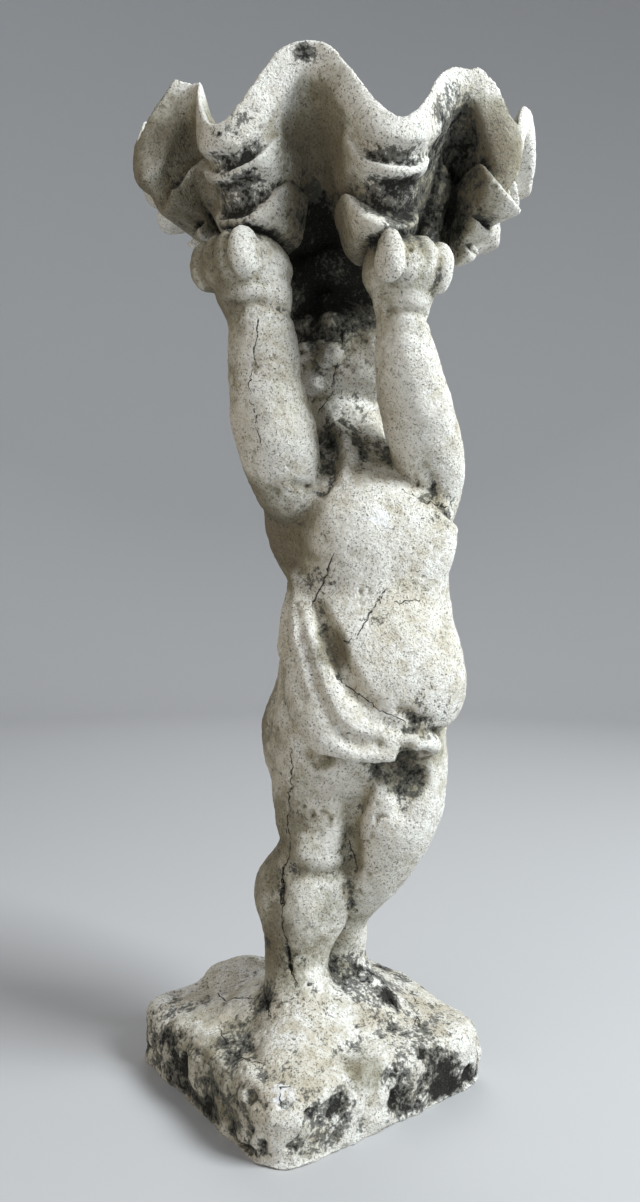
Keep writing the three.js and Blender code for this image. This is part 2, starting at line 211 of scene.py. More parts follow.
def slab(x, y, z):
    """A square with rounded corners, by the distance past its corner circles, and its top edge
    rounded the same way in height. The underside is flat."""
    past_x = np.abs(x) - plinth_half + plinth_corner
    past_y = np.abs(y) - plinth_half + plinth_corner
    side = np.hypot(np.maximum(past_x, 0), np.maximum(past_y, 0))
    side = side + np.minimum(np.maximum(past_x, past_y), 0) - plinth_corner + plinth_edge
    rise = z - plinth_height + plinth_edge
    top = np.hypot(np.maximum(side, 0), np.maximum(rise, 0))
    top = top + np.minimum(np.maximum(side, rise), 0) - plinth_edge
    return np.maximum(top, -z)


clay = Clay((-150, -165, -6), (156, 130, 650), 1.3)
clay.add(slab, (-90, -90, 0), (90, 90, 39))
# The top is heaped up towards the feet, and a low hump lies behind the standing foot.
add_egg(clay, (6, 4, 27), (92, 86, 27), 10)
add_egg(clay, (4, -8, 40), (52, 46, 22), 18)
add_egg(clay, (-16, 64, 38), (32, 23, 17), 8)
add_egg(clay, (-46, -48, 32), (46, 27, 17), 14, turn=45)

# ---- Legs and feet --------------------------------------------------------------------------
# A plump child stands on the right leg, with the left one crossed behind it. The feet are so
# worn that they run into the heap of cement they were cast with.


def smooth_stations(stations, between=6):
    """A Catmull-Rom curve through the rows of a list, the same few steps from each to the next."""
    rows = np.array(stations, float)
    rows = np.vstack([2 * rows[0] - rows[1], rows, 2 * rows[-1] - rows[-2]])
    share = np.linspace(0, 1, between, endpoint=False)[:, None]
    out = []
    for a, b, c, d in zip(rows[:-3], rows[1:-2], rows[2:-1], rows[3:]):
        bend = (2 * a - 5 * b + 4 * c - d) * share ** 2 + (3 * b - 3 * c + d - a) * share ** 3
        out.append((2 * b + (c - a) * share + bend) / 2)
    return np.vstack([*out, rows[-2]])


def limb_distance(clay, path):
    """The window of a limb and the distance to it: to the nearest of its short round cones, by
    the offset from the cone's line less the radius there."""
    reach = 16
    place, x, y, z = clay.window((path[:, :3] - path[:, 3:4]).min(0) - reach,
                                 (path[:, :3] + path[:, 3:4]).max(0) + reach)
    distance = np.full((x.shape[0], y.shape[1], z.shape[2]), clay.far, np.float32)
    for start, end in zip(path[:-1], path[1:]):
        low = np.minimum(start[:3] - start[3], end[:3] - end[3]) - reach
        high = np.maximum(start[:3] + start[3], end[:3] + end[3]) + reach
        part, x, y, z = clay.window(low, high)
        inner = tuple(slice(p.start - q.start, p.stop - q.start) for p, q in zip(part, place))
        inner = tuple(slice(max(i.start, 0), i.stop) for i in inner)
        way = end[:3] - start[:3]
        along = (x - start[0]) * way[0] + (y - start[1]) * way[1] + (z - start[2]) * way[2]
        along = np.clip(along / (way @ way), 0, 1)
        off = np.sqrt((x - start[0] - along * way[0]) ** 2 + (y - start[1] - along * way[1]) ** 2
                      + (z - start[2] - along * way[2]) ** 2)
        cone = off - (start[3] + (end[3] - start[3]) * along)
        distance[inner] = np.minimum(distance[inner], cone)
    return place, distance


def add_limb(clay, stations, blend=0.0):
    """Adds a limb through stations of x, y, z and radius."""
    place, distance = limb_distance(clay, smooth_stations(stations))
    clay.field[place] = soft_min(clay.field[place], distance, blend)


def on_skin(clay, points):
    """Brings points to the skin: a few times over, each goes back along the slope of the block's
    distances by the distance there, both weighed from the eight grid points round it."""
    points = np.array(points, float)
    for _ in range(14):
        place = (points - clay.low) / clay.step
        cell = np.clip(np.floor(place).astype(int), 0, np.array(clay.field.shape) - 2)
        part = place - cell
        value, slope = 0, np.zeros_like(points)
        for corner in np.ndindex(2, 2, 2):
            here = clay.field[tuple((cell + corner).T)].astype(float)
            weight = np.where(corner, part, 1 - part)
            value = value + here * weight.prod(1)
            for axis in range(3):
                sign = 1 if corner[axis] else -1
                slope[:, axis] += sign * here * np.delete(weight, axis, 1).prod(1) / clay.step
        size = np.maximum((slope ** 2).sum(1), 0.2)
        points -= (np.clip(value, -5, 5) / size)[:, None] * slope
    return points


def groove(clay, stations, blend=0.0):
    """Cuts a groove along stations of x, y, z and radius, each first brought to the skin."""
    path = smooth_stations(stations)
    path[:, :3] = on_skin(clay, path[:, :3])
    place, distance = limb_distance(clay, path)
    clay.field[place] = soft_max(clay.field[place], -distance, blend)


standing_leg = [
    (-13, -5, 40, 24), (-14, -6, 62, 21), (-14, -6, 81, 22), (-12, -7, 98, 24.5), (-8, -10, 119, 29.5),
    (-5, -12, 137, 30), (-1, -15, 158, 27.5), (2, -14, 180, 33), (5, -12, 205, 37), (8, -12, 230, 41),
]
crossed_leg = [
    (28, -4, 40, 22), (27, -4, 62, 17), (25, -6, 85, 17), (22, -9, 106, 20), (25, -24, 128, 22),
    (28, -37, 146, 25), (31, -45, 163, 28), (34, -47, 184, 35), (37, -42, 212, 40), (38, -34, 234, 42),
]
add_limb(clay, standing_leg, 5)
add_limb(clay, crossed_leg, 3)
standing_foot = [(-6, 2, 50, 16), (-16, -12, 56, 21), (-31, -31, 45, 22), (-46, -49, 33, 21)]
crossed_foot = [(24, 8, 50, 13), (27, -8, 54, 15), (30, -24, 50, 13), (31, -35, 44, 10)]
add_limb(clay, standing_foot, 12)
add_limb(clay, crossed_foot, 12)
# Calf, knee and the fold of fat above it.
add_egg(clay, (-20, 2, 122), (19, 20, 27), 8)
add_egg(clay, (-16, -27, 158), (15, 12, 14), 8)
groove(clay, [(-30, -27, 147, 1), (-20, -40, 144, 2.5), (-6, -44, 145, 2), (8, -42, 148, 1)], 7)
# The web of cement between the legs, and the furrow where the two thighs meet.
add_limb(clay, [(14, -32, 196, 22), (13, -36, 166, 15), (11, -27, 138, 11), (8, -10, 96, 7), (8, 0, 60, 9)], 6)
groove(clay, [(6, -58, 222, 8), (9, -54, 200, 7), (11, -47, 176, 4), (11, -40, 150, 3)], 8)

toe_count, toe_half = 5, 6.5
for ball, forward, half in [((-42, -45), (-0.68, -0.73), 7.0), ((31, -35), (0.05, -1.0), 6.0)]:
    for toe in range(toe_count):
        spread = (toe - 2) * half * 1.05
        out = half * (1.2 - 0.12 * (toe - 1) ** 2)
        centre = (ball[0] + forward[0] * out - forward[1] * spread,
                  ball[1] + forward[1] * out + forward[0] * spread, plinth_height + 2)
        turn = np.degrees(np.arctan2(forward[1], forward[0]))
        add_egg(clay, centre, (half * 1.3, half * 0.6, half * 0.8), 3, turn=turn)

# ---- Trunk ----------------------------------------------------------------------------------
# A round belly pushed forward, a short chest and a plump seat. Its level sections are slightly
# squared ovals, turned with the chest.

chest_turn = np.radians(-28)
trunk_sections = [
    (20, -24, 190, 30, 26), (20, -24, 200, 46, 38), (21, -24, 212, 54, 46), (21, -24, 226, 57, 50),
    (21, -28, 246, 58, 53), (22, -33, 270, 58, 54), (24, -35, 296, 57, 52), (27, -34, 326, 54, 48),
    (28, -33, 350, 53, 45), (27, -32, 378, 55, 43), (24, -31, 398, 55, 38), (21, -28, 414, 42, 31),
    (20, -24, 430, 26, 23), (19, -18, 450, 22, 22),
]
section_power = 2.27


def trunk(x, y, z):
    """At each height the centre and the half sizes come from the sections, and the distance is
    the share by which a point lies outside that squared oval, times the oval's mean half size."""
    sections = smooth_stations(trunk_sections)
    cx, cy, wide, deep = (np.interp(z, sections[:, 2], sections[:, i]) for i in (0, 1, 3, 4))
    across = (x - cx) * np.cos(chest_turn) + (y - cy) * np.sin(chest_turn)
    through = (y - cy) * np.cos(chest_turn) - (x - cx) * np.sin(chest_turn)
    share = (np.abs(across / wide) ** section_power + np.abs(through / deep) ** section_power)
    distance = (share ** (1 / section_power) - 1) * np.sqrt(wide * deep) * 0.9
    return np.maximum(distance, np.maximum(192 - z, z - 452))


clay.add(trunk, (-60, -100, 190), (110, 50, 452), 5)
# Belly, chest, shoulder blades and seat.
add_egg(clay, (30, -70, 270), (36, 27, 38), 22, turn=-28)
add_egg(clay, (0, -58, 368), (30, 18, 34), 16, turn=-28)
add_egg(clay, (30, -72, 366), (30, 16, 32), 16, turn=-28)
add_egg(clay, (-4, -2, 380), (30, 23, 42), 14)
add_egg(clay, (52, -26, 380), (28, 27, 38), 14)
add_egg(clay, (5, 4, 232), (33, 31, 35), 14)
add_egg(clay, (50, -12, 234), (35, 35, 36), 14)
# The cleft of the seat and the furrow of the back.
groove(clay, [(38, 44, 258, 3), (34, 38, 232, 6), (30, 28, 208, 7)], 8)
groove(clay, [(34, 32, 272, 3), (42, 20, 310, 5), (44, 16, 345, 5), (42, 14, 380, 3)], 14)
# The fold where the belly meets the thigh.
groove(clay, [(60, -84, 236, 2), (46, -92, 232, 3), (30, -96, 230, 5), (14, -94, 226, 6)], 9)

# ---- Drapery --------------------------------------------------------------------------------
# A band of cloth hangs from the right side of the waist, over the hip and across to the groin,
# modelled with the figure: two rounded lengthwise folds between rolled edges.

band = [
    (-18, -14, 344, 5), (-24, -24, 332, 10), (-31, -31, 309, 16), (-36, -38, 287, 19), (-36, -48, 265, 20),
    (-29, -58, 247, 20), (-15, -67, 236, 19), (1, -76, 230, 17), (15, -81, 230, 14), (28, -84, 230, 10),
]
band_thickness, band_folds, fold_depth = 19.0, 2, 0.20
hips = np.array([24, -28])


def add_band(clay):
    """Along each short stretch of the band, a point's offsets across it and out from the hips are
    divided by the half width and half thickness. The folds thin it by a cosine across its width."""
    path = smooth_stations(band)
    reach = 14
    place, x, y, z = clay.window(path[:, :3].min(0) - 30, path[:, :3].max(0) + 30)
    whole = np.full((x.shape[0], y.shape[1], z.shape[2]), clay.far, np.float32)
    for start, end in zip(path[:-1], path[1:]):
        way = end[:3] - start[:3]
        length = np.linalg.norm(way)
        out = np.array([*((start[:2] + end[:2]) / 2 - hips), 0])
        out -= (out @ way) * way / length ** 2
        out /= np.linalg.norm(out)
        side = np.cross(way / length, out)
        low = np.minimum(start[:3], end[:3]) - start[3] - reach
        high = np.maximum(start[:3], end[:3]) + start[3] + reach
        part, x, y, z = clay.window(low, high)
        inner = tuple(slice(max(p.start - q.start, 0), p.stop - q.start) for p, q in zip(part, place))
        px, py, pz = x - start[0], y - start[1], z - start[2]
        along = (px * way[0] + py * way[1] + pz * way[2]) / length ** 2
        inside = np.clip(along, 0, 1)
        half = start[3] + (end[3] - start[3]) * inside
        across = (px * side[0] + py * side[1] + pz * side[2]) / half
        outward = px * out[0] + py * out[1] + pz * out[2]
        fold = 0.5 + 0.5 * np.cos(2 * np.pi * band_folds * (0.5 + across / 2))
        thick = np.where(outward > 0, 1 - fold_depth * fold, 1.0) * band_thickness / 2
        past = (along - inside) * length
        share = np.sqrt(across ** 2 + (outward / thick) ** 2)
        distance = (share - 1) * np.minimum(half, thick) + np.abs(past)
        shape = whole[inner].shape
        distance = distance[:shape[0], :shape[1], :shape[2]]
        whole[inner] = np.minimum(whole[inner], distance)
    clay.field[place] = soft_min(clay.field[place], whole, 2.5)


# The dark hollow between the band and the belly comes first, so that the band stays whole.
groove(clay, [(-25, -46, 318, 3), (-23, -56, 300, 6), (-20, -67, 276, 6), (-12, -80, 258, 4)], 5)
add_band(clay)
add_limb(clay, [(18, -90, 232, 7), (28, -90, 231, 8), (35, -86, 229, 6)], 5)
groove(clay, [(-2, -100, 250, 2), (12, -104, 246, 3), (26, -102, 245, 2)], 4)
groove(clay, [(-36, -14, 264, 2), (-39, -34, 238, 4), (-29, -48, 219, 5), (-19, -66, 214, 6), (-3, -79, 213, 6),
              (16, -84, 211, 8), (28, -88, 208, 9)], 5)
# The crease between the band's two folds.
groove(clay, [(-37, -38, 316, 1), (-41, -47, 301, 2.5), (-40, -53, 282, 3), (-38, -63, 262, 3),
              (-32, -69, 248, 3), (-21, -74, 236, 3), (-6, -82, 233, 2)], 5)
groove(clay, [(14, -86, 220, 6), (20, -80, 206, 8), (20, -74, 188, 5)], 8)

# ---- Arms and hands -------------------------------------------------------------------------
# Both arms are raised, the elbows bent a little, and the fists close round two ribs of the bowl.

right_arm = [
    (-30, -20, 396, 22), (-39, -25, 412, 25), (-46, -28, 427, 26), (-53, -31, 443, 24.5),
    (-58, -34, 459, 23), (-62, -38, 476, 22), (-65, -41, 491, 20), (-68, -43, 508, 18),
]
left_arm = [
    (55, -58, 384, 21), (52, -65, 398, 23), (44, -73, 412, 24), (35, -80, 425, 24),
    (24, -86, 439, 23), (15, -90, 453, 22), (7, -94, 467, 19.5), (1, -97, 481, 16.5), (-4, -101, 500, 15),
]
# The shoulders' front muscles, running up into the raised arms.
add_egg(clay, (-22, -14, 402), (25, 24, 25), 10)
add_egg(clay, (56, -48, 398), (25, 25, 25), 10)
add_limb(clay, right_arm, 3)
add_limb(clay, left_arm, 2.5)
# Creases under the raised arms, where they were pressed on to the chest.
groove(clay, [(-42, -42, 396, 2), (-30, -50, 392, 3), (-18, -50, 398, 2.5), (-14, -44, 410, 2)], 3)
groove(clay, [(24, -92, 408, 2), (36, -94, 390, 3), (52, -88, 376, 3), (66, -76, 372, 2.5)], 3)

hands = [
    {"palm": (-74, -40, 524), "radii": (28, 25, 21), "points": 82},
    {"palm": (-7, -102, 519), "radii": (23, 22, 21), "points": 5},
]
# The heels of the hands run down into the wrists.
add_egg(clay, (-72, -41, 510), (23, 21, 17), 8)
add_egg(clay, (-4, -102, 508), (18, 18, 16), 8)
finger_count, finger_half = 4, 7.5
for hand in hands:
    palm, radii = np.array(hand["palm"], float), hand["radii"]
    points = np.radians(hand["points"])
    forward = np.array([-np.sin(points), -np.cos(points), 0])
    across = np.array([-forward[1], forward[0], 0])
    add_egg(clay, palm, radii, 3, turn=90 - hand["points"])
    for finger in range(finger_count):
        offset = (finger - (finger_count - 1) / 2) * finger_half * 1.6
        centre = palm + across * offset + forward * 0.66 * radii[0] + (0, 0, 1)
        add_egg(clay, centre, (finger_half + 3, finger_half, 15), 4, turn=90 - hand["points"])
# Creases round the wrists.
groove(clay, [(-92, -42, 498, 1), (-80, -62, 496, 2), (-62, -64, 496, 2), (-46, -52, 498, 1)], 4)
groove(clay, [(-20, -104, 492, 1), (-10, -116, 491, 2), (4, -116, 491, 2), (14, -104, 492, 1)], 3)

# ---- Neck and head --------------------------------------------------------------------------
# The head leans back between the arms under the bowl. It has a calm, full child's face and a cap
# of round curls.

head_centre = np.array([21, -10, 492])
head_radii = np.array([40, 45, 46])
head_faces, head_tilt = np.radians(30), np.radians(30)


def head_axes():
    """The head's own axes as rows: to its left, to its back and up through its crown."""
    lean = np.array([[1, 0, 0], [0, np.cos(head_tilt), -np.sin(head_tilt)],
                     [0, np.sin(head_tilt), np.cos(head_tilt)]])
    c, s = np.cos(head_faces), np.sin(head_faces)
    turned = np.array([[c, -s, 0], [s, c, 0], [0, 0, 1]])
    return lean @ turned.T


def features(x, y, z):
    """Skull, jaw, cheeks and the parts of the face as eggs set by shares of the head's half sizes
    along its own axes, melted together, with sockets, nostrils and the mouth's line taken out."""
    frame_rows = head_axes()
    x, y, z = x - head_centre[0], y - head_centre[1], z - head_centre[2]
    own = [row[0] * x + row[1] * y + row[2] * z for row in frame_rows]

    def part(place, sizes):
        centre = np.array(place) * head_radii
        return egg(centre, np.array(sizes) * head_radii[0])(*own)

    whole = egg((0, 0, 0), head_radii)(*own)
    whole = soft_min(whole, part((0, -0.35, -0.45), (0.72, 0.62, 0.62)), 10)
    whole = soft_min(whole, part((0, -0.84, -0.82), (0.24, 0.20, 0.18)), 7)
    whole = soft_min(whole, part((0, -0.72, 0.42), (0.62, 0.30, 0.34)), 12)
    for side in (-1, 1):
        whole = soft_min(whole, part((side * 0.46, -0.66, -0.42), (0.34, 0.28, 0.32)), 7)
        whole = soft_min(whole, part((side * 0.99, 0.02, -0.18), (0.09, 0.18, 0.26)), 2)
        whole = soft_max(whole, -part((side * 0.36, -1.02, 0.02), (0.22, 0.12, 0.13)), 5)
        whole = soft_min(whole, part((side * 0.36, -0.84, -0.01), (0.17, 0.14, 0.13)), 1.5)
        whole = soft_max(whole, -part((side * 0.36, -1.02, -0.015), (0.15, 0.10, 0.016)), 1)
    whole = soft_min(whole, part((0, -1.00, -0.10), (0.09, 0.13, 0.26)), 4)
    whole = soft_min(whole, part((0, -1.08, -0.30), (0.13, 0.14, 0.12)), 2.5)
    for side in (-1, 1):
        whole = soft_min(whole, part((side * 0.12, -1.00, -0.33), (0.09, 0.12, 0.09)), 2)
    whole = soft_min(whole, part((0, -0.94, -0.60), (0.30, 0.16, 0.17)), 6)
    whole = soft_min(whole, part((0, -1.02, -0.545), (0.19, 0.10, 0.055)), 1.5)
    whole = soft_min(whole, part((0, -1.00, -0.665), (0.15, 0.10, 0.065)), 1.5)
    whole = soft_max(whole, -part((0, -1.14, -0.60), (0.20, 0.10, 0.018)), 1.2)
    return whole


add_limb(clay, [(20, -26, 410, 22), (19, -22, 432, 21), (18, -16, 452, 23)], 10)
clay.add(features, head_centre - 56, head_centre + 56, 5)
# The crown of the head runs up into the underside of the bowl.
add_egg(clay, (14, -22, 546), (34, 34, 17), 12)
add_egg(clay, (-28, -6, 530), (22, 22, 25), 8)
# A tongue of mortar runs down the throat on to the chest.
add_limb(clay, [(-2, -33, 440, 4), (0, -41, 428, 6), (-4, -50, 413, 6), (-13, -58, 400, 4)], 5)

curl_count, curl_radius = 46, 8.5
rows = head_axes()
for curl in range(curl_count):
    height = 0.98 - 1.45 * (curl + 0.5) / curl_count
    around = np.sqrt(1 - height * height)
    angle = curl * np.pi * (3 - np.sqrt(5))
    own = np.array([around * np.cos(angle), around * np.sin(angle), height])
    if own[1] < -0.45 and height < 0.62:
        continue
    centre = head_centre + rows.T @ (own * head_radii * 0.96)
    add_egg(clay, centre, (curl_radius, curl_radius, curl_radius * 0.9), 2.5)
    dimple = head_centre + rows.T @ (own * (head_radii * 0.96 + curl_radius * 1.1))
    cut_egg(clay, dimple, (2.6, 2.6, 2.6), 2.5)

# ---- Bowl -----------------------------------------------------------------------------------
# A clam shell, cast with the rest and open above. Its folds spread from a point set back behind
# its middle, wide in front and narrower round the sides and back. Each low fold, or rib, wears
# drooping lips on its outside, one below the other, and the high folds between are flutes.

shell_x, shell_y, shell_faces = 9.0, -17.0, np.radians(46)
shell_floor, shell_lean = 553.0, 0.03
shell_wall, shell_floor_wall, rim_roll = 9.0, 15.0, 2.2
left_flute, right_flute, folds_to_back = np.radians(45), np.radians(51), 4.5
umbo_set_back, umbo_reach, fold_fade = 95.0, 122.0, 85.0
shell_forward = np.array([-np.sin(shell_faces), -np.cos(shell_faces)])
shell_side = np.array([np.cos(shell_faces), -np.sin(shell_faces)])


def fold_turns(angle):
    """How many folds lie between the middle flute and this direction: one to the first flute on
    either side, and four and a half even ones from there to the middle of the back."""
    front = np.where(angle > 0, right_flute, left_flute)
    off = np.abs(angle)
    return np.minimum(off, front) / front + folds_to_back * np.maximum(off - front, 0) / (np.pi - front)


def rim_at(angle):
    """Radius, middle height and swing of the rim, which a cosine swings once for each fold. The
    sides of the bowl are wider, higher and calmer than its front."""
    wave = np.cos(2 * np.pi * fold_turns(angle))
    side = np.sin(angle) ** 2
    behind = (1 - np.cos(angle)) / 2
    scallop = (7 + 4 * np.sin(2 * angle) ** 2) * (1 - side ** 3)
    scallop += 4 * np.clip(-np.sin(2 * angle), 0, 1) ** 2
    radius = 119 + 17 * side ** 2.5 - scallop * wave - 3 * behind
    return radius, 606 + 15 * side ** 1.5 - 2 * behind, 24 - 13 * side ** 2


def rib_height(share, angle):
    """Height of a rib's ridge at a share of the rim radius. A front rib hangs low, then rises
    steeply and flares out level at the rim. The others climb by a power of the share, which
    is highest for the two ribs beside those in front: they run out, then stand up."""
    middle, swing = rim_at(angle)[1:]
    share = np.clip(share, 0, 1.2)
    in_front = np.clip((np.radians(58) - np.abs(angle)) / np.radians(30), 0, 1)
    beside = np.clip(1 - np.abs(np.abs(angle) - np.radians(62)) / np.radians(26), 0, 1)
    right = angle > 0
    sag = (15 * in_front + (3 + 11 * right) * beside) * np.sin(np.pi * np.clip(share, 0, 1) ** 1.2)
    rise = np.clip((share - 0.66) / 0.27, 0, 1)
    front_climb = 0.86 * rise * rise * (3 - 2 * rise) + 0.14 * share
    climb = front_climb * in_front + share ** (1.6 + (2.4 + 2 * right) * beside) * (1 - in_front)
    return shell_floor - sag + (middle - swing - shell_floor) * climb


def shell_surface(x, y):
    """Height of the bowl's outer surface, which swings by a cosine between the ribs' height and
    the flutes', whose climb goes by a power of 1.35 of the share of the rim radius."""
    dx, dy = x - shell_x, y - shell_y
    forward = dx * shell_forward[0] + dy * shell_forward[1]
    lateral = dx * shell_side[0] + dy * shell_side[1]
    reach, angle = np.hypot(forward, lateral), np.arctan2(lateral, forward)
    radius, middle, swing = rim_at(angle)
    share = reach / radius
    from_umbo = forward + umbo_set_back * np.clip(1 - reach / umbo_reach, 0, 1)
    turns = fold_turns(np.arctan2(lateral, from_umbo))
    fade = np.clip(np.hypot(lateral, from_umbo) / fold_fade, 0, 1) ** 1.5
    flute = shell_floor + (middle + swing - shell_floor) * share ** 1.35
    rib = rib_height(share, angle)
    height = rib + (flute - rib) * (0.5 + 0.5 * np.cos(2 * np.pi * turns) * fade)
    return height - shell_lean * lateral, share, reach - radius


def wall_sides(place, x, y, z):
    """Distances below the outer and above the inner surface of the wall. Both are half the wall
    from the middle surface, measured square to the slope, and the inside is filled level where
    the ribs hang lower than the floor. The rim is rolled a little thicker."""
    flat_x, flat_y = np.broadcast_arrays(x[:, :, 0].astype(float), y[:, :, 0].astype(float))
    height, share, past = shell_surface(flat_x, flat_y)
    floor = shell_floor - 4 + 14 * share ** 2
    inside = soft_max(height, floor, 10)

    def square_to_slope(surface):
        slope_x, slope_y = np.gradient(surface, clay.step)
        level = 1 / np.sqrt(1 + slope_x ** 2 + slope_y ** 2)
        return (z - surface[:, :, None]) * level[:, :, None], level

    wall = shell_wall + (shell_floor_wall - shell_wall) * np.clip(1 - share, 0, 1) ** 0.8
    roll = rim_roll * np.clip(1 - np.abs(past) / 9, 0, 1) ** 0.7
    half = (wall / 2 + roll)[:, :, None]
    below, level = square_to_slope(height)
    above, _ = square_to_slope(inside)
    return -below - half, above - half, (past / np.maximum(level, 0.6))[:, :, None]


def add_bowl(clay):
    """The wall lies between its two surfaces, and ends where the reach passes the rim's radius."""
    half = 155
    place, x, y, z = clay.window((shell_x - half, shell_y - half, 515), (shell_x + half, shell_y + half, 655))
    under, over, edge = wall_sides(place, x, y, z)
    wall = soft_max(soft_max(under, over, 2), edge, 4)
    clay.field[place] = soft_min(clay.field[place], wall.astype(np.float32), 3)


lip_droop, lip_bow, lip_flare, lip_band, lip_height = 17.0, 45.0, 13.0, 4.0, 21.0
lip_stand = 15.0


def add_lip(clay, toward, radius, edge, half):
    """A lip hangs across a rib like a short skirt. Its edge is a half ellipse, lowest on the ridge
    of the rib, and its face is bowed across by a parabola. Above a thick rolled band the face
    falls back to the rib by a power of the rise. It fills the space out from the wall, as far
    from it as a lip stands, and that is least at its ends."""
    way = np.cos(toward) * shell_forward + np.sin(toward) * shell_side
    centre = np.array([shell_x, shell_y]) + way * (radius - 14)
    place, x, y, z = clay.window((*(centre - 36), edge - 6), (*(centre + 36), edge + lip_droop + 1.6 * lip_height + 6))
    out = (x - shell_x) * way[0] + (y - shell_y) * way[1]
    across = (y - shell_y) * way[0] - (x - shell_x) * way[1]
    drooped = lip_droop * (1 - np.sqrt(1 - np.clip(np.abs(across) / half, 0, 1) ** 2))
    rise = z - edge - drooped
    back = np.clip((rise - lip_band) / (lip_height - lip_band), 0, 3)
    face = out - radius + across ** 2 / (2 * lip_bow) + lip_flare * back ** 0.65
    lip = soft_max(face * 0.8, -rise * 0.85, 4.5)
    lip = soft_max(lip, np.abs(across) - half, 5)
    under, over, _ = wall_sides(place, x, y, z)
    lip = soft_max(lip, under - lip_stand * (1 - 0.6 * (across / half) ** 2), 5)
    lip = np.maximum(soft_max(lip, rise - 1.2 * lip_height, 10), over)
    clay.field[place] = soft_min(clay.field[place], lip.astype(np.float32), 1.5)


add_bowl(clay)
# Each front and side rib's lips by their radius and the height of their edge, then the back's.
rib_lips = {-22.5: [(119, 564), (108, 541)], 25.5: [(119, 560), (109, 532)],
            65.5: [(134, 556), (114, 546), (103, 535)], -60: [(118, 570), (96, 559)]}
for rib in (94, 123, 152, 180, -90, -120, -150):
    rib_lips[rib] = [(125, 584), (106, 571)]
for rib, lips in rib_lips.items():
    for radius, edge in lips:
        add_lip(clay, np.radians(rib), radius, edge, 25 if abs(rib) < 30 else 21)

# ---- The casting's skin ---------------------------------------------------------------------
# The block's outer skin becomes the mesh, cut flat where the statue stands.

clay.field = np.maximum(clay.field, -clay.axes[2])


def skin(clay):
    """Surface nets: each cell that the skin passes through gets one point, at the mean of the
    crossings on its edges, and each grid edge that crosses the skin joins its four cells' points."""
    field = clay.field
    solid = field < 0
    corners = [(a, b, c) for a in (0, 1) for b in (0, 1) for c in (0, 1)]
    size = np.array(field.shape) - 1
    count = np.zeros(size, np.int8)
    for a, b, c in corners:
        count += solid[a:size[0] + a, b:size[1] + b, c:size[2] + c]
    active = (count > 0) & (count < 8)
    cells = np.argwhere(active)
    number = np.full(active.shape, -1, np.int32)
    number[active] = np.arange(len(cells))
    value = {c: field[tuple((cells + c).T)].astype(float) for c in corners}
    total, crossings = np.zeros((len(cells), 3)), np.zeros(len(cells))
    for corner in corners:
        for axis in range(3):
            if corner[axis]:
                continue
            other = tuple(1 if i == axis else corner[i] for i in range(3))
            a, b = value[corner], value[other]
            crosses = (a < 0) != (b < 0)
            point = np.tile(np.array(corner, float), (len(cells), 1))
            point[:, axis] += np.where(crosses, a / np.where(crosses, a - b, 1), 0)
            total[crosses] += point[crosses]
            crossings[crosses] += 1
    points = clay.low + clay.step * (cells + total / crossings[:, None])
    faces = []
    for axis in range(3):
        first = tuple(slice(0, -1) if i == axis else slice(1, -1) for i in range(3))
        second = tuple(slice(1, None) if i == axis else slice(1, -1) for i in range(3))
        crossed = solid[first] != solid[second]
        outward = solid[first][crossed]
        cell = np.argwhere(crossed) + np.array([0 if i == axis else 1 for i in range(3)])
        u, v = [(1, 2), (2, 0), (0, 1)][axis]
        ring = []
        for du, dv in [(1, 1), (0, 1), (0, 0), (1, 0)]:
            near = cell.copy()
            near[:, u] -= du
            near[:, v] -= dv
            ring.append(number[tuple(near.T)])
        ring = np.stack(ring, axis=1)
        ring[~outward] = ring[~outward][:, ::-1]
        faces.append(ring)
    return points, np.vstack(faces)


def point_normals(points, faces):
    """Each point's outward normal, the sum of its faces' normals by area."""
    face_normal = np.cross(points[faces[:, 2]] - points[faces[:, 0]], points[faces[:, 3]] - points[faces[:, 1]])
    normal = np.zeros_like(points)
    for corner in range(4):
        for axis in range(3):
            normal[:, axis] += np.bincount(faces[:, corner], face_normal[:, axis], len(points))
    return normal / np.maximum(np.linalg.norm(normal, axis=1, keepdims=True), 1e-9)


def outer_skin(points, faces):
    """Keeps the largest connected sheet of the skin. Every point takes the lowest number among
    its neighbours, over and over, until each sheet has one number."""
    sheet = np.arange(len(points))
    start, end = faces.ravel(), np.roll(faces, -1, axis=1).ravel()
    while True:
        lowest = np.minimum(sheet[start], sheet[end])
        before = sheet.copy()
        np.minimum.at(sheet, start, lowest)
        np.minimum.at(sheet, end, lowest)
        sheet = sheet[sheet]
        if (sheet == before).all():
            break
    keep = sheet == np.bincount(sheet).argmax()
    number = np.cumsum(keep) - 1
    return points[keep], number[faces[keep[faces[:, 0]]]]


def value_noise(points, cell, seed):
    """Smooth noise from -1 to 1: seeded values on a cubic lattice, blended between the eight round
    each point by smoothed shares of the cell."""
    lattice = np.random.default_rng(seed).uniform(-1, 1, (32, 32, 32))
    place = points / cell
    corner_at = np.floor(place).astype(int)
    part = place - corner_at
    part = part * part * (3 - 2 * part)
    total = 0
    for corner in np.ndindex(2, 2, 2):
        total = total + lattice[tuple(((corner_at + corner) % 32).T)] * np.where(corner, part, 1 - part).prod(1)
    return total


def ramp(value, low, high):
    """0 below the low value, 1 above the high one, and smooth between."""
    share = np.clip((value - low) / (high - low), 0, 1)
    return share * share * (3 - 2 * share)


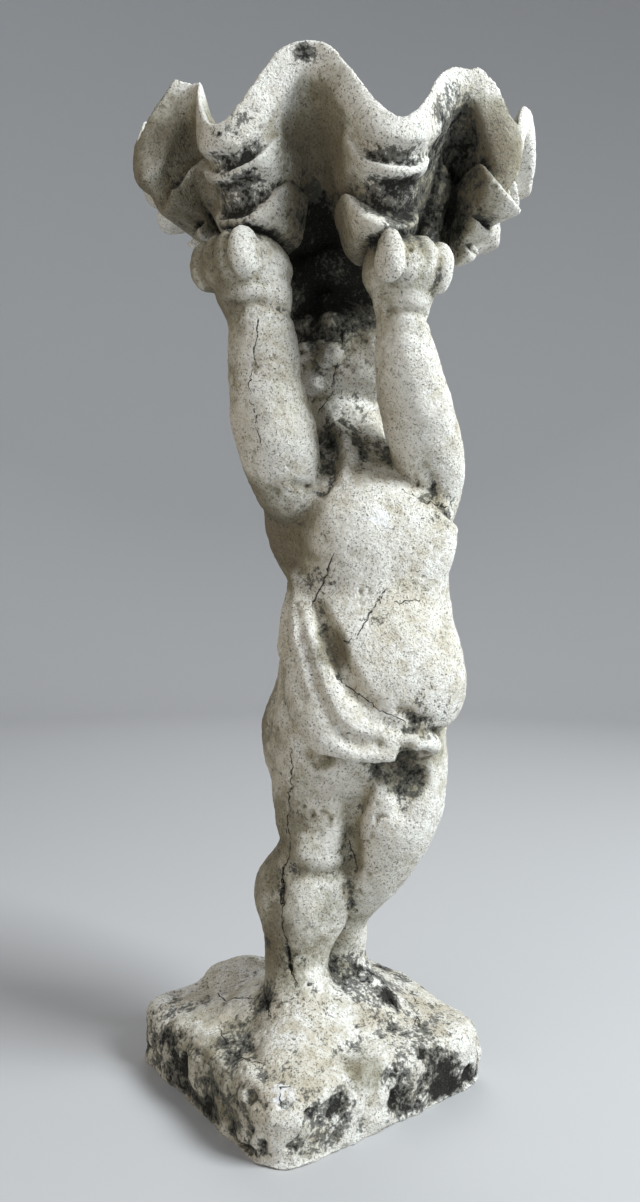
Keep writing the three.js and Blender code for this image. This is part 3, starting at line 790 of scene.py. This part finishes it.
# Cracks, seams and joints of the casting as chains of points, each with its half width and depth.
cracks = [
    ([(-34, -30, 224), (-31, -24, 206), (-30, -17, 172), (-31, -22, 154), (-33, -17, 147), (-35, -21, 132),
      (-36, -20, 118), (-32, -21, 96), (-30, -21, 82), (-31, -28, 72)], 1.1, 2.6),
    ([(-35, -19, 138), (-36, -21, 124)], 2.2, 4.0),
    ([(-31, -21, 96), (-30, -22, 80)], 2.0, 4.0),
    ([(-22, -58, 352), (-24, -50, 338), (-27, -44, 322)], 1.5, 1.2),
    ([(4, -76, 328), (-2, -74, 320), (-14, -72, 300), (-18, -68, 297), (-27, -56, 299)], 0.9, 1.5),
    ([(-2, -74, 323), (9, -80, 321), (24, -85, 323)], 0.5, 0.6),
    ([(-22, -63, 273), (-11, -72, 262), (-2, -83, 253), (10, -88, 247)], 0.6, 0.8),
    ([(-78, -56, 488), (-77, -51, 465), (-77, -45, 452), (-67, -42, 419)], 0.6, 0.7),
    ([(10, -80, 398), (18, -84, 391), (30, -88, 385), (46, -86, 383)], 1.2, 2.0),
    ([(-70, 0, 43), (-75, -15, 42), (-76, -35, 41), (-72, -52, 45)], 0.7, 0.8),
    ([(-20, 84, 48), (-47, 63, 46), (-50, 29, 47), (-42, 2, 58)], 0.8, 1.0),
    ([(-40, -2, 62), (-44, -14, 60), (-48, -23, 58)], 2.0, 3.0),
    ([(-2, -38, 513), (-4, -43, 490), (-5, -35, 472), (-2, -30, 461), (-6, -22, 450)], 0.7, 1.0),
    ([(34, -44, 55), (35, -50, 52)], 3.0, 4.0),
    ([(3, -43, 161), (8, -43, 147)], 0.8, 1.0),
    ([(-64, -66, 48), (-78, -80, 38), (-80, -82, 22)], 0.8, 1.2),
    ([(-70, -78, 42), (-84, -70, 30)], 1.2, 2.0),
    ([(40, -66, 42), (58, -50, 43), (66, -28, 44)], 0.6, 0.7),
    ([(40, 60, 46), (62, 40, 45), (70, 10, 44)], 0.7, 0.8),
    ([(60, 12, 400), (64, 8, 360), (58, 4, 320), (62, 2, 280)], 0.6, 0.9),
]


def crack_reach(points, normals):
    """Each point's signed distance to the nearest crack in parts of its half width, and that
    crack's depth. The sign says on which side of the crack's line the point lies."""
    wobble = np.stack([value_noise(points, 5, seed) + 0.5 * value_noise(points, 2.2, seed + 3)
                       for seed in (11, 12, 13)], axis=1) * 1.3
    moved = points + wobble
    nearest, deep = np.full(len(points), 9.0), np.zeros(len(points))
    for chain, half, depth in cracks:
        chain = np.array(chain, float)
        for start, end in zip(chain[:-1], chain[1:]):
            way = end - start
            along = ((moved - start) @ way) / (way @ way)
            off = moved - start - np.clip(along, 0, 1)[:, None] * way
            side = np.sign((np.cross(normals, way) * off).sum(1))
            width = half * (0.75 + 0.5 * value_noise(points, 7, 21))
            reach = np.linalg.norm(off, axis=1) / width
            reach = np.where(np.abs((off * normals).sum(1)) > 9, 9, reach)
            closer = reach < np.abs(nearest)
            nearest = np.where(closer, np.where(side < 0, -reach, reach), nearest)
            deep = np.where(closer, depth, deep)
    return nearest, deep


def relief(points, normals):
    """How far the weathered skin lies from the smooth one: lumps of three sizes, sand grain, worn
    pits, heavier lumps and losses on the plinth's sides, and the cracks."""
    lumps = 0.8 * value_noise(points, 15, 1) + 0.45 * value_noise(points, 7, 2)
    grain = 0.26 * value_noise(points, 3.2, 3) + 0.20 * value_noise(points, 1.9, 4)
    pits = -1.3 * ramp(value_noise(points, 4.5, 5) + 0.4 * value_noise(points, 17, 6), 0.70, 0.95)
    low = ramp(-points[:, 2], -47, -36) * ramp(-np.abs(normals[:, 2]), -0.95, -0.5)
    rough = 1.7 * value_noise(points, 19, 7) + 1.3 * value_noise(points, 9, 8) + 0.8 * value_noise(points, 4.5, 9)
    losses = -2.2 * ramp(value_noise(points, 13, 10), 0.30, 0.55)
    top = 0.8 * value_noise(points, 11, 14) * ramp(-points[:, 2], -64, -44) * (1 - low)
    reach, depth = crack_reach(points, normals)
    cut = -depth * np.clip(1 - np.abs(reach), 0, 1)
    return lumps + grain + pits + low * (rough + losses - 0.6) + top + cut


points, faces = outer_skin(*skin(clay))
normals = point_normals(points, faces)
points = points + relief(points, normals)[:, None] * normals
points[:, 2] = np.maximum(points[:, 2], 0)

casting_mesh = bpy.data.meshes.new("casting")
casting_mesh.from_pydata((points * MM).tolist(), [], faces.tolist())
casting = bpy.data.objects.new("cherub_statue_casting", casting_mesh)
bpy.context.scene.collection.objects.link(casting)
most_triangles = 190000
if 2 * len(faces) > most_triangles:
    thinning = casting.modifiers.new("thinning", "DECIMATE")
    thinning.ratio = most_triangles / (2 * len(faces))
    thinned = casting.evaluated_get(bpy.context.evaluated_depsgraph_get())
    casting_mesh = bpy.data.meshes.new_from_object(thinned)
    casting.modifiers.clear()
    casting.data = casting_mesh
casting_mesh.polygons.foreach_set("use_smooth", np.ones(len(casting_mesh.polygons), bool))

# ---- Stone finish ---------------------------------------------------------------------------
# Sandy cement gone pale with old limewash, and beige where that has worn away. Damp has stained it brown
# and olive under the bowl, and black lichen and crust sit in hollows and on the plinth. Shade is painted
# in as well: darker in hollows and creases, beige on the side turned away from the window light, and
# black painted shadow under the bowl, round the neck, in the groin and between the legs.

# Dark marks, each a centre, a radius and a strength: crust and lichen where the weather has left them, and
# painted shadow under the bowl, round the neck, in the groin, under the belly and between the legs.
grime_and_shadow_marks = [
    (-6, -30, 548, 50, 1.7), (-105, -70, 580, 20, 0.9), (-86, -52, 556, 24, 1.1), (-31, -126, 570, 20, 0.9),
    (-22, -114, 545, 24, 1.0), (6, -130, 612, 30, 0.8), (22, -112, 575, 40, 0.8), (-100, -66, 604, 20, 0.6),
    (-30, -120, 600, 20, 0.6), (-70, -96, 631, 8, 1.2), (-2, -35, 486, 34, 0.55),
    (4, -38, 432, 24, 0.7), (-32, 8, 378, 36, 0.45), (17, -74, 212, 24, 0.8), (26, -96, 250, 24, 0.6),
    (-9, -42, 154, 15, 0.5), (28, -34, 62, 26, 0.7), (17, -46, 118, 26, 0.5), (28, -92, 12, 36, 0.95),
    (66, -90, 10, 26, 0.4), (-40, -94, 8, 24, 0.4), (-93, 10, 4, 34, 0.7), (-93, 56, 14, 34, 0.8),
    (-93, -40, 6, 34, 0.5), (-38, -8, 110, 34, 0.35), (-38, -8, 180, 30, 0.3), (-92, -46, 520, 24, 0.35),
    (0, -84, 213, 18, 0.5), (-30, -50, 216, 10, 0.5), (-76, -22, 43, 17, 0.6), (34, -47, 53, 9, 0.9), (-40, -10, 62, 13, 0.7),
    (-74, -92, 630, 10, 0.7), (-33, -22, 140, 12, 0.5), (-31, -24, 88, 12, 0.5), (-24, -47, 332, 14, 0.55),
    (-16, -70, 300, 12, 0.45), (40, -84, 384, 20, 0.5), (10, -126, 508, 12, 0.6), (92, 20, 10, 40, 0.8),
    (10, 92, 12, 44, 0.8), (40, 30, 545, 46, 0.9), (36, 40, 235, 26, 0.5), (30, -100, 546, 22, 0.6),
    (-80, 20, 575, 34, 0.5),
]
brown_marks = [
    (-12, -34, 560, 56, 1.3), (-34, -66, 586, 42, 1.0), (-52, -90, 608, 30, 0.7), (-110, 6, 596, 60, 1.2),
    (26, -120, 582, 40, 1.1), (40, -140, 604, 30, 0.9), (-96, -30, 524, 36, 0.9), (-2, -110, 520, 28, 0.7), (-34, -6, 140, 60, 0.5), (-8, -100, 540, 30, 0.7),
    (-32, 10, 378, 46, 1.2), (-23, -56, 292, 16, 0.9), (-18, -84, 40, 16, 0.9),
    (-30, -20, 90, 24, 0.5), (0, -46, 420, 24, 0.6), (-92, 0, 20, 60, 0.5), (22, -80, 220, 26, 0.7),
    (-76, -36, 512, 22, 0.4), (-20, 30, 240, 34, 0.6), (60, 40, 560, 50, 0.8), (44, 44, 420, 50, 0.4),
    (90, 60, 24, 50, 0.5), (-6, -40, 500, 30, 0.6),
]
white_marks = [
    (-77, -80, 40, 11, 1.0), (-2, -78, 373, 10, 1.0), (-16, -56, 402, 14, 0.7), (-76, -50, 455, 26, 0.5),
    (20, -104, 450, 34, 0.6), (-80, -96, 612, 22, 0.5), (-33, -48, 290, 20, 0.5), (60, -70, 300, 40, 0.4),
]


def marks_at(points, marks):
    """The sum of soft round marks, each falling from its strength to nothing at 1.4 radii."""
    total = np.zeros(len(points))
    for x, y, z, radius, strength in marks:
        away = np.linalg.norm(points - (x, y, z), axis=1) / radius
        total += strength * ramp(-away, -1.4, -0.4)
    return total


def solid_share(clay, points, half):
    """How much of a cube round each point is solid, from the running sums of the block's solid
    cells along all three axes: eight sums, added and taken away, give the count inside."""
    size = np.array(clay.field.shape)
    low = np.clip(np.round((points - half - clay.low) / clay.step).astype(int), 0, size)
    high = np.clip(np.round((points + half - clay.low) / clay.step).astype(int), 0, size)
    total = np.zeros(len(points))
    for corner in np.ndindex(2, 2, 2):
        place = np.where(corner, high, low)
        total += (-1) ** (3 - sum(corner)) * running[tuple(place.T)]
    return total / np.prod(2 * np.array(half) / clay.step)


running = np.zeros(np.array(clay.field.shape) + 1, np.int32)
running[1:, 1:, 1:] = (clay.field < 0).cumsum(0, dtype=np.int32).cumsum(1).cumsum(2)
points = np.zeros(len(casting_mesh.vertices) * 3)
casting_mesh.vertices.foreach_get("co", points)
points = points.reshape(-1, 3) / MM
points[:, 2] = np.maximum(points[:, 2], 0)
casting_mesh.vertices.foreach_set("co", (points * MM).ravel())
casting_mesh.update()
normals = np.zeros(points.size)
casting_mesh.vertices.foreach_get("normal", normals)
normals = normals.reshape(-1, 3)
crack, crack_depth = crack_reach(points, normals)
near = solid_share(clay, points, np.array([4.5, 4.5, 4.5])) - 0.5
wide = solid_share(clay, points, np.array([15.0, 15, 15])) - 0.5
shelter = solid_share(clay, points + (0, 0, 34), np.array([20.0, 20, 30]))
masks = {
    "crack": np.clip(crack, -3, 3),
    "crack_near": (np.abs(crack) < 3) * 1.0,
    # How deep a point sits in a hollow: for dirt and for painted shade in creases and recesses.
    "hollow_dirt_and_shade": np.clip(2.2 * near + 1.1 * wide, -1, 1),
    "shelter": np.clip(shelter, 0, 1),
    "grime_and_shadow": marks_at(points, grime_and_shadow_marks),
    "brown": marks_at(points, brown_marks),
    "white": marks_at(points, white_marks),
    "height": points[:, 2],
    # Facing away from the window light: painted beige shade on that side, also weighed into the stains.
    "shade_side_and_stain": normals @ (-0.80, 0.60, 0.0),
}
for name, values in masks.items():
    attribute = casting_mesh.attributes.new(name, "FLOAT", "POINT")
    attribute.data.foreach_set("value", values.astype(np.float32))


def add_node(tree, kind, inputs=None, **settings):
    """Makes a node, sets its properties, and gives each named or numbered input a value or link."""
    made = tree.nodes.new(kind)
    for name, value in settings.items():
        setattr(made, name, value)
    for name, value in (inputs or {}).items():
        if isinstance(value, bpy.types.NodeSocket):
            tree.links.new(value, made.inputs[name])
        else:
            made.inputs[name].default_value = value
    return made


def math(tree, operation, *values):
    """One Math node's output."""
    return add_node(tree, "ShaderNodeMath", dict(enumerate(values)), operation=operation).outputs[0]


def between(tree, value, low, high):
    """A smooth step of a value from 0 at the low one to 1 at the high one."""
    inputs = {"Value": value, "From Min": low, "From Max": high}
    return add_node(tree, "ShaderNodeMapRange", inputs, interpolation_type="SMOOTHSTEP").outputs[0]


def mixed(tree, share, first, second):
    """Two colours mixed by a mask."""
    inputs = {"Factor": share, "A": first, "B": second}
    return add_node(tree, "ShaderNodeMix", inputs, data_type="RGBA").outputs["Result"]


def new_group(name, inputs, outputs):
    """An empty node group with its sockets, and its two end nodes."""
    group = bpy.data.node_groups.new(name, "ShaderNodeTree")
    for label, kind in inputs.items():
        group.interface.new_socket(label, in_out="INPUT", socket_type=kind)
    for label, kind in outputs.items():
        group.interface.new_socket(label, in_out="OUTPUT", socket_type=kind)
    return group, group.nodes.new("NodeGroupInput").outputs, group.nodes.new("NodeGroupOutput").inputs


# Patches: uneven spots of about a size in millimetres that cover a share of the surface.
number, vector = "NodeSocketFloat", "NodeSocketVector"
patches, given, result = new_group(
    "patches", {"Place": vector, "Size": number, "Cover": number, "Edge": number}, {"Mask": number, "Value": number})
scale = math(patches, "DIVIDE", 1.0, given["Size"])
cloud = add_node(patches, "ShaderNodeTexNoise",
                 {"Vector": given["Place"], "Scale": scale, "Detail": 4, "Roughness": 0.62}).outputs[0]
threshold = math(patches, "MULTIPLY_ADD", given["Cover"], -0.44, 0.72)
patches.links.new(between(patches, cloud, math(patches, "SUBTRACT", threshold, given["Edge"]),
                          math(patches, "ADD", threshold, given["Edge"])), result["Mask"])
patches.links.new(cloud, result["Value"])

# Beige is worn sand and also painted shade on the side away from the light; lichen grey and crust black are dirt and
# also painted shade and shadow in hollows and under the bowl.
limewash, worn_lime = (0.83, 0.82, 0.765, 1), (0.70, 0.665, 0.57, 1)
sand_beige_and_shade, olive = (0.47, 0.41, 0.30, 1), (0.215, 0.195, 0.115, 1)
brown, lichen_and_shade_grey, crust_and_shadow_black = (0.105, 0.072, 0.036, 1), (0.066, 0.068, 0.062, 1), (0.011, 0.010, 0.008, 1)
paint_white = (0.86, 0.86, 0.86, 1)

stone = bpy.data.materials.new("cast_stone")
stone.use_nodes = True
tree = stone.node_tree
shader = tree.nodes["Principled BSDF"]
place = add_node(tree, "ShaderNodeTexCoord").outputs["Object"]
place = add_node(tree, "ShaderNodeMapping", {"Vector": place, "Scale": (1 / MM, 1 / MM, 1 / MM)}).outputs[0]


def spots(size, cover, edge, output="Mask"):
    """One use of the patches group on the stone."""
    node = add_node(tree, "ShaderNodeGroup", node_tree=patches)
    tree.links.new(place, node.inputs["Place"])
    for name, value in zip(("Size", "Cover", "Edge"), (size, cover, edge)):
        node.inputs[name].default_value = value
    return node.outputs[output]


def mask_of(name):
    """One of the masks kept on the mesh's points."""
    return add_node(tree, "ShaderNodeAttribute", attribute_name=name).outputs["Fac"]


def plus(*values):
    """The sum of several values."""
    total = values[0]
    for value in values[1:]:
        total = math(tree, "ADD", total, value)
    return total


def times(a, b):
    """The product of two values."""
    return math(tree, "MULTIPLY", a, b)


hollow_dirt_and_shade, grime_and_shadow, height = mask_of("hollow_dirt_and_shade"), mask_of("grime_and_shadow"), mask_of("height")
# Ground colour: limewash, worn through to beige sand in broad and in small patches.
colour = mixed(tree, spots(46, 0.42, 0.12), limewash, worn_lime)
colour = mixed(tree, times(spots(17, 0.40, 0.10), 0.7), colour, sand_beige_and_shade)
colour = mixed(tree, times(spots(3.2, 0.45, 0.10), 0.45), colour, sand_beige_and_shade)
# Raised parts are kept paler than hollows: partly worn limewash, partly painted light and shade.
colour = mixed(tree, times(between(tree, hollow_dirt_and_shade, -0.05, -0.55), 0.55), colour, limewash)
# The side turned away from the window light is painted beige as shade.
shade_side_and_stain = between(tree, mask_of("shade_side_and_stain"), 0.1, 0.9)
colour = mixed(tree, times(shade_side_and_stain, 0.6), colour, sand_beige_and_shade)
# Brown and olive stains, heavier in hollows and on the side turned away from the window light, where
# they are also painted shade.
stain_and_shade = plus(mask_of("brown"), times(mask_of("shelter"), 0.55), times(hollow_dirt_and_shade, 0.5), times(shade_side_and_stain, 0.3),
             times(spots(20, 0.5, 0.1, "Value"), 1.6))
colour = mixed(tree, times(between(tree, stain_and_shade, 0.95, 1.75), 0.72), colour, olive)
colour = mixed(tree, times(between(tree, stain_and_shade, 1.35, 2.3), 0.60), colour, brown)
# Dark lichen in hollows, as a haze and as spots, and black crust where it is thickest. The haze in
# hollows and the black under the bowl, round the neck, in the groin and between the legs are also painted shade.
speckle = spots(2.4, 0.5, 0.1, "Value")
foot = between(tree, height, 16.0, 1.0)
dirt_and_shade = plus(grime_and_shadow, hollow_dirt_and_shade, times(speckle, 2.4), times(spots(9, 0.5, 0.1, "Value"), 2.2), times(foot, 0.35))
colour = mixed(tree, times(between(tree, dirt_and_shade, 2.62, 3.0), 0.80), colour, lichen_and_shade_grey)
colour = mixed(tree, times(between(tree, dirt_and_shade, 3.15, 3.5), 0.92), colour, crust_and_shadow_black)
specks = times(spots(1.3, 0.30, 0.03), spots(24, 0.75, 0.12))
colour = mixed(tree, times(specks, 0.75), colour, lichen_and_shade_grey)
# Fresher white paint, and the dark lines of the cracks.
fresh = plus(mask_of("white"), times(spots(5, 0.5, 0.1, "Value"), 2.6))
colour = mixed(tree, times(between(tree, fresh, 2.0, 2.35), 0.75), colour, paint_white)
crack_line = times(between(tree, math(tree, "ABSOLUTE", mask_of("crack")), 0.85, 0.25),
                   between(tree, mask_of("crack_near"), 0.4, 0.6))
colour = mixed(tree, times(crack_line, 0.9), colour, crust_and_shadow_black)
tree.links.new(colour, shader.inputs["Base Color"])
roughness = plus(0.86, times(speckle, 0.14))
tree.links.new(roughness, shader.inputs["Roughness"])
shader.inputs["Specular IOR Level"].default_value = 0.25

grit = plus(times(spots(1.1, 0.5, 0.1, "Value"), 0.55), times(spots(2.6, 0.5, 0.1, "Value"), 0.9))
grit = plus(grit, times(spots(1.6, 0.16, 0.05), -0.5), times(crack_line, -0.9))
bump = add_node(tree, "ShaderNodeBump", {"Height": grit, "Distance": 1.5 * MM, "Strength": 1.0})
tree.links.new(bump.outputs[0], shader.inputs["Normal"])
casting_mesh.materials.append(stone)

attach(casting, "root")
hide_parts("cherub_statue")
